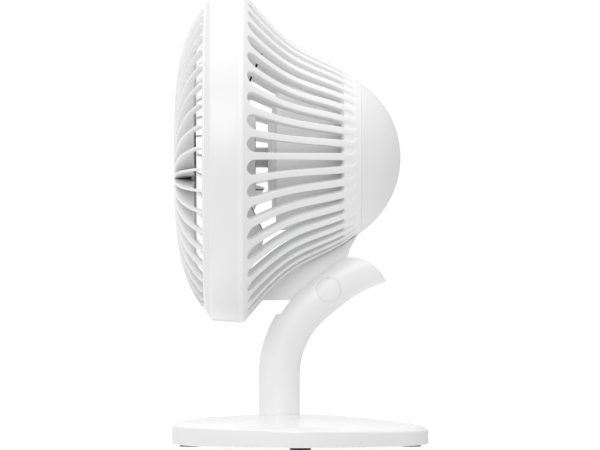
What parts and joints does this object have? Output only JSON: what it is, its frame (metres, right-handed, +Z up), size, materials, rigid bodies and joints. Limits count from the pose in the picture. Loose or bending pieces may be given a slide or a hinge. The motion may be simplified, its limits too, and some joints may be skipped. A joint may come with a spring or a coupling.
{
  "type": "desk fan",
  "caption": "White desk fan: round weighted base, curved arm with a tilt pivot, and a drum-shaped head with a swirl-finned front guard, a ribbed flared back and a domed motor cover.",
  "frame": {"origin": "centre of the round base, on the surface that the fan stands on", "axes": "+Z up; -Y is the way the fan blows, along its axis; +X is to the right seen from in front, along the tilt pivot"},
  "size_m": [0.1982, 0.1542, 0.2724],
  "materials": {
    "white_shell": "semi-gloss white moulding",
    "white_ribs": "satin white moulding",
    "white_base": "glossy white moulding",
    "inner_plastic": "satin white inner moulding",
    "button_plastic": "semi-gloss key",
    "foot_rubber": "matte black rubber",
    "zinc_steel": "zinc-plated",
    "cast_weight": "plain cast plate",
    "bush_bronze": "sintered bronze",
    "magnet_dark": "dark coated magnet",
    "winding_copper": "lacquered copper wire",
    "board_green": "solder-masked circuit board",
    "lead_sheath": "soft black sheath",
    "washer_nylon": "natural nylon"
  },
  "bodies": {
    "base": {"base_cover": "white_base", "base_plate": "inner_plastic", "ballast_weight": "cast_weight", "rubber_feet": "foot_rubber", "base_screws": "zinc_steel", "control_board": "board_green", "tactile_switch": "lead_sheath", "socket_board": "board_green", "power_socket": "zinc_steel", "arm_left_shell": "white_shell", "arm_right_shell": "white_shell", "arm_screws": "zinc_steel", "arm_lead": "lead_sheath", "pivot_bolt": "zinc_steel", "pivot_nut": "zinc_steel", "pivot_cap_left": "white_shell", "pivot_cap_right": "white_shell", "friction_washers": "washer_nylon"},
    "button": {"power_button": "button_plastic"},
    "head": {"rear_housing": "white_ribs", "neck_bracket": "white_shell", "neck_screws": "zinc_steel", "motor_cup": "inner_plastic", "motor_body": "inner_plastic", "motor_end_cap": "inner_plastic", "motor_screws": "zinc_steel", "motor_board": "board_green", "motor_lead": "lead_sheath", "front_bush": "bush_bronze", "rear_bush": "bush_bronze", "stator_core": "zinc_steel", "stator_windings": "winding_copper", "dome_cover": "white_shell", "front_bezel": "white_shell", "front_grille": "white_ribs", "grille_boss": "white_shell", "grille_screws": "zinc_steel"},
    "rotor": {"impeller": "inner_plastic", "motor_shaft": "zinc_steel", "rotor_magnet": "magnet_dark", "spinner_nut": "inner_plastic"}
  },
  "joints": [
    {"name": "head_tilt", "type": "hinge", "parent": "base", "child": "head", "pos_m": [0, 0.0169, 0.0941], "axis": [-1, 0, 0], "range_deg": [-12, 22]},
    {"name": "impeller_spin", "type": "hinge", "parent": "head", "child": "rotor", "pos_m": [0, 0, 0.1733], "axis": [0, 1, 0], "continuous": true},
    {"name": "button_press", "type": "slide", "parent": "base", "child": "button", "axis": [0, 0, -1], "range_m": [0, 0.0006], "stiffness_N_per_m": 1500, "springref_m": -0.0004}
  ]
}
